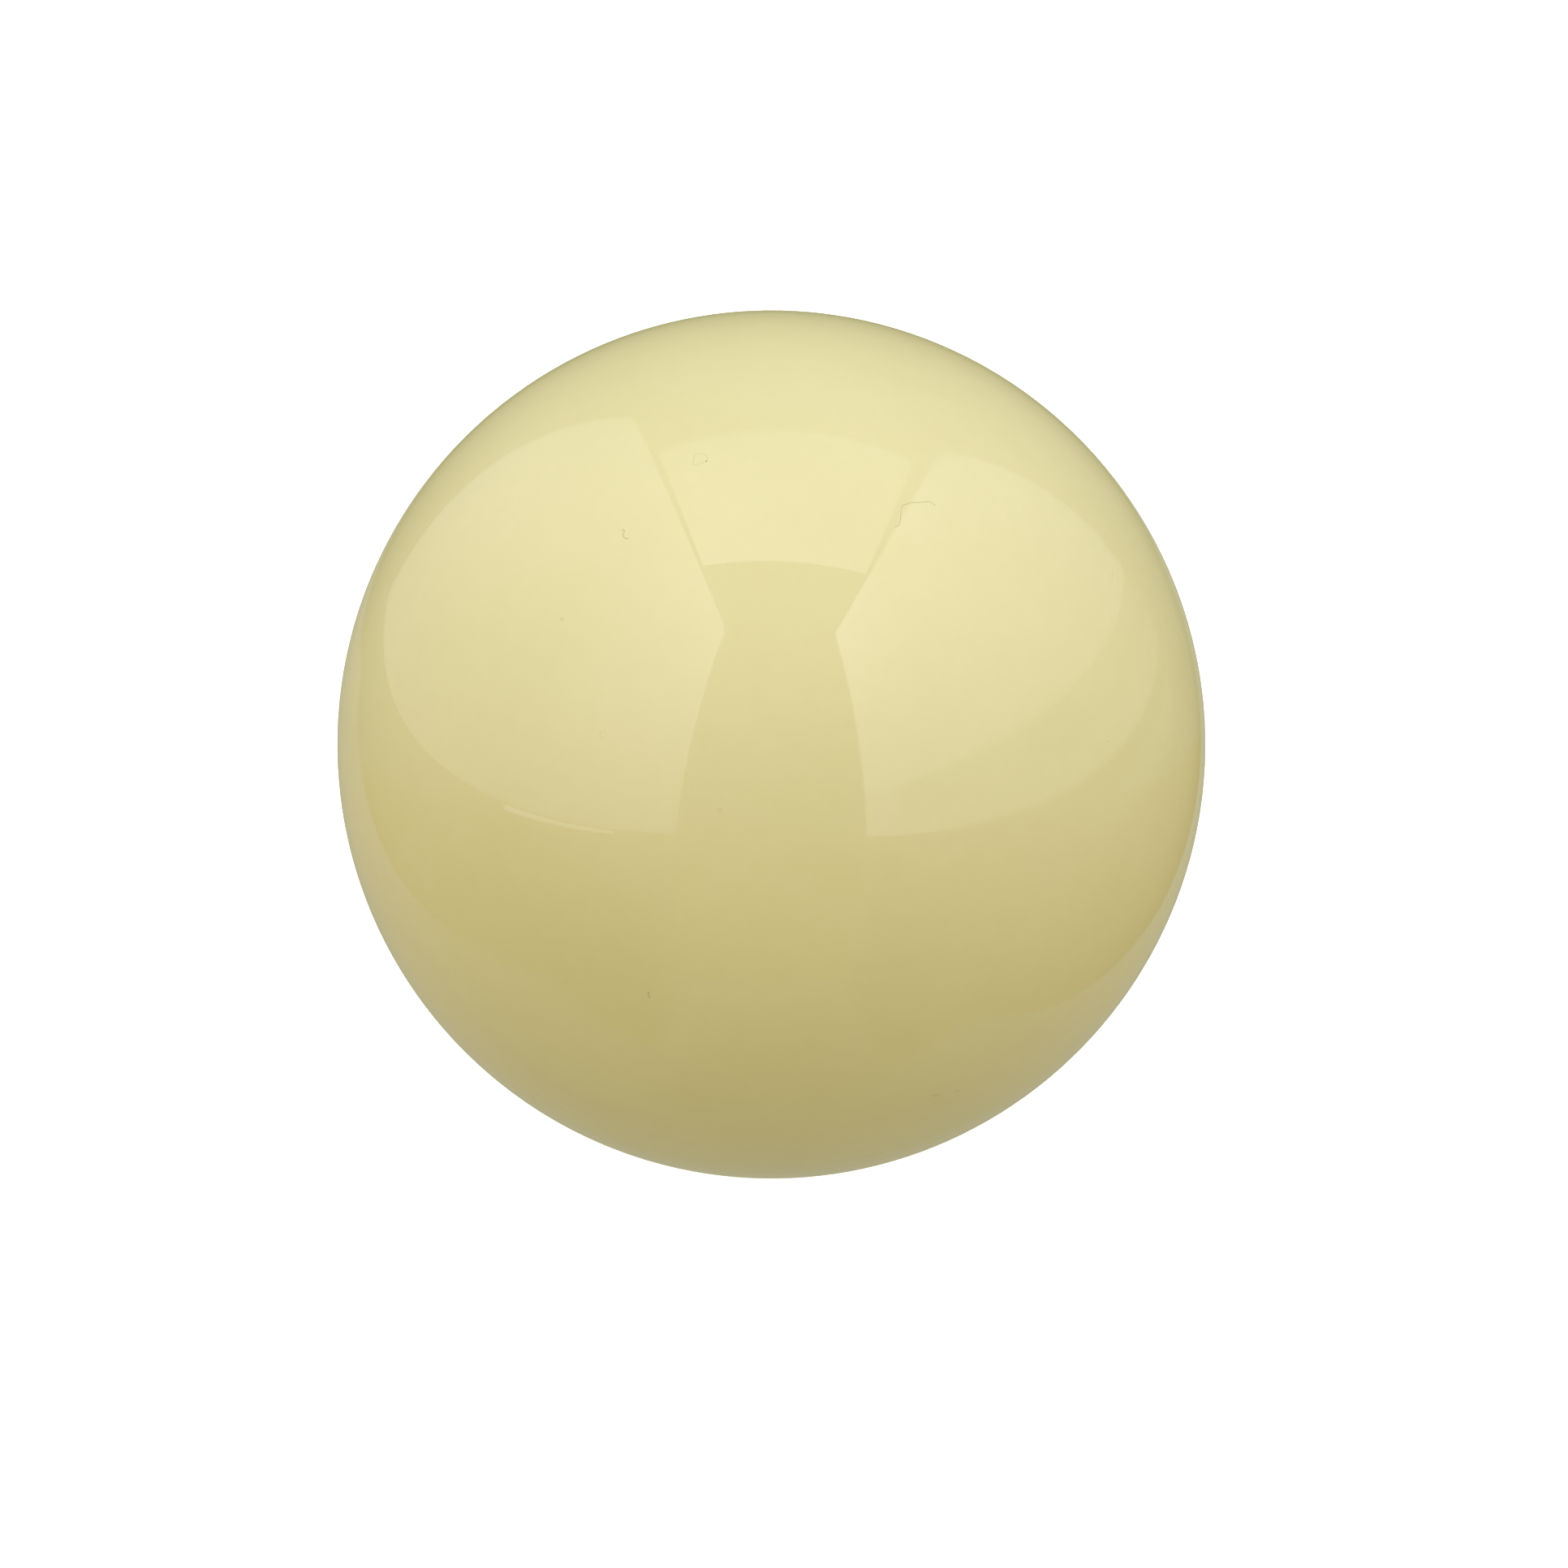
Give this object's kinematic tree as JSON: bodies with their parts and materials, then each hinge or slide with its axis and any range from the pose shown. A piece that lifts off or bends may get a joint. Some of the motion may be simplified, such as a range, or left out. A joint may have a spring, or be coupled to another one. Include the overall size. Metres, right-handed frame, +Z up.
{
  "type": "cue ball",
  "caption": "Plain polished sphere of cream-coloured cast resin, struck with a cue to drive the other balls on a billiard table.",
  "frame": {"origin": "centre of the ball", "axes": "+Z up; the ball is the same about every axis through its centre, and it rests on its lowest point, on -Z"},
  "size_m": [0.0572, 0.0572, 0.0572],
  "materials": {
    "resin": "polished"
  },
  "bodies": {
    "root": {"ball": "resin"}
  },
  "joints": []
}
